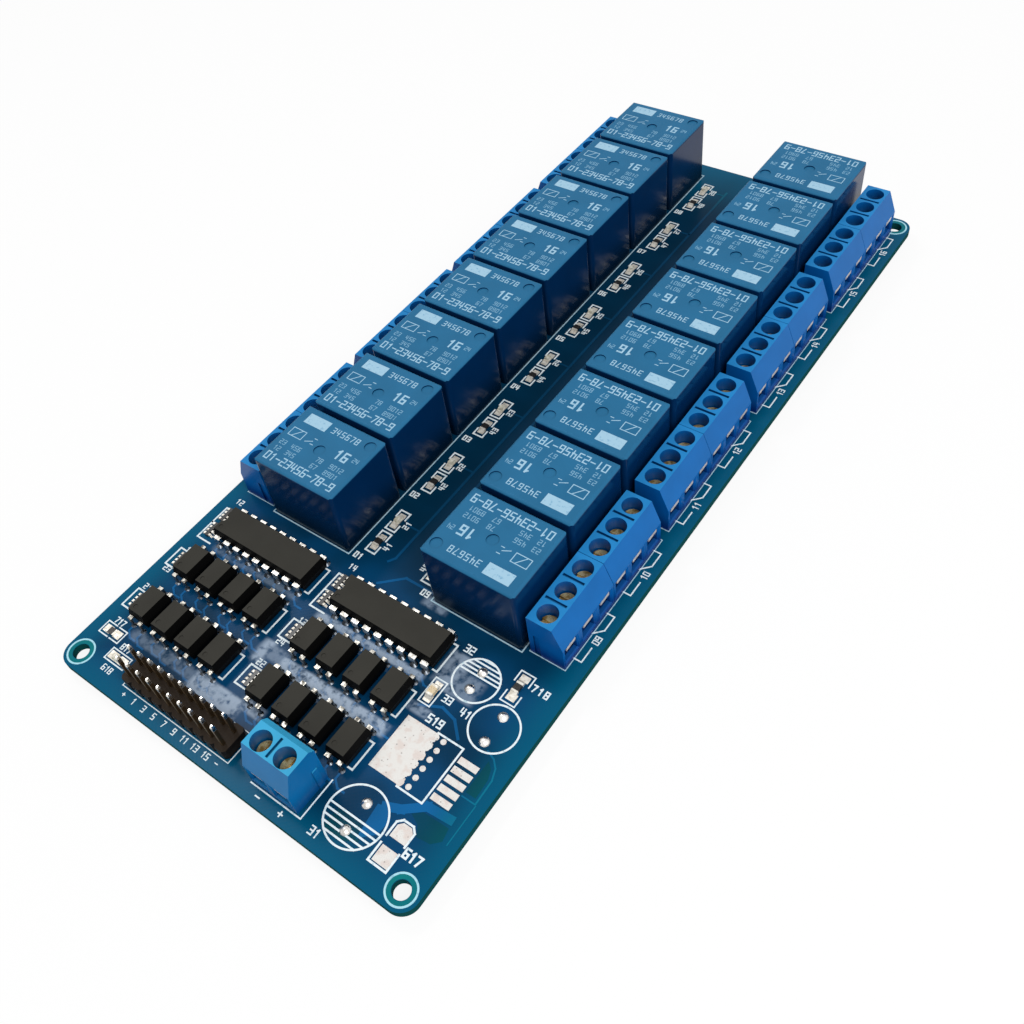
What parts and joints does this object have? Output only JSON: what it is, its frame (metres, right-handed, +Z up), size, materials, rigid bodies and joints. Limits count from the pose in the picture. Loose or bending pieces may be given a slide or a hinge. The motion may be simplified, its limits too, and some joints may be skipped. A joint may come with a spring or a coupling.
{
  "type": "relay module board",
  "caption": "Relay module board: two rows of sealed relays with screw terminals, driver chips, optocouplers, supply terminal and control header on one circuit board.",
  "frame": {"origin": "centre of the four mounting holes, on the underside of the board", "axes": "+X across the board, +Y along the board away from the control header, +Z up out of the component side"},
  "size_m": [0.08, 0.18, 0.0183],
  "materials": {
    "solder_mask": "satin",
    "relay_case": "satin",
    "terminal_housing": "satin",
    "supply_housing": "satin",
    "tinned_metal": "tinned",
    "screw_metal": "plated",
    "plated_clamp": "plated",
    "chip_epoxy": "matt",
    "header_plastic": "satin",
    "header_metal": "plated",
    "led_lens": "clear",
    "resistor_glaze": "glazed",
    "capacitor_ceramic": "matt",
    "solder": "bright"
  },
  "bodies": {
    "root": {"pcb": "solder_mask", "relay_1": "relay_case", "relay_2": "relay_case", "relay_3": "relay_case", "relay_4": "relay_case", "relay_5": "relay_case", "relay_6": "relay_case", "relay_7": "relay_case", "relay_8": "relay_case", "relay_9": "relay_case", "relay_10": "relay_case", "relay_11": "relay_case", "relay_12": "relay_case", "relay_13": "relay_case", "relay_14": "relay_case", "relay_15": "relay_case", "relay_16": "relay_case", "relay_pins": "tinned_metal", "terminal_block_1": "terminal_housing", "terminal_block_2": "terminal_housing", "terminal_block_3": "terminal_housing", "terminal_block_4": "terminal_housing", "terminal_block_5": "terminal_housing", "terminal_block_6": "terminal_housing", "terminal_block_7": "terminal_housing", "terminal_block_8": "terminal_housing", "terminal_block_9": "terminal_housing", "terminal_block_10": "terminal_housing", "terminal_block_11": "terminal_housing", "terminal_block_12": "terminal_housing", "terminal_block_13": "terminal_housing", "terminal_block_14": "terminal_housing", "terminal_block_15": "terminal_housing", "terminal_block_16": "terminal_housing", "supply_terminal": "supply_housing", "clamp_screws": "screw_metal", "wire_clamps": "plated_clamp", "terminal_contacts": "tinned_metal", "driver_chip_1": "chip_epoxy", "driver_chip_2": "chip_epoxy", "driver_leads": "tinned_metal", "optocouplers_1": "chip_epoxy", "optocouplers_2": "chip_epoxy", "optocouplers_3": "chip_epoxy", "optocouplers_4": "chip_epoxy", "optocoupler_leads": "tinned_metal", "header_strip": "header_plastic", "header_pins": "header_metal", "channel_leds": "led_lens", "supply_led": "led_lens", "chip_resistors": "resistor_glaze", "resistor_arrays": "resistor_glaze", "chip_capacitor": "capacitor_ceramic", "chip_part_ends": "solder", "tinned_pads": "solder", "solder_domes": "solder", "solder_cones": "solder"}
  },
  "joints": []
}
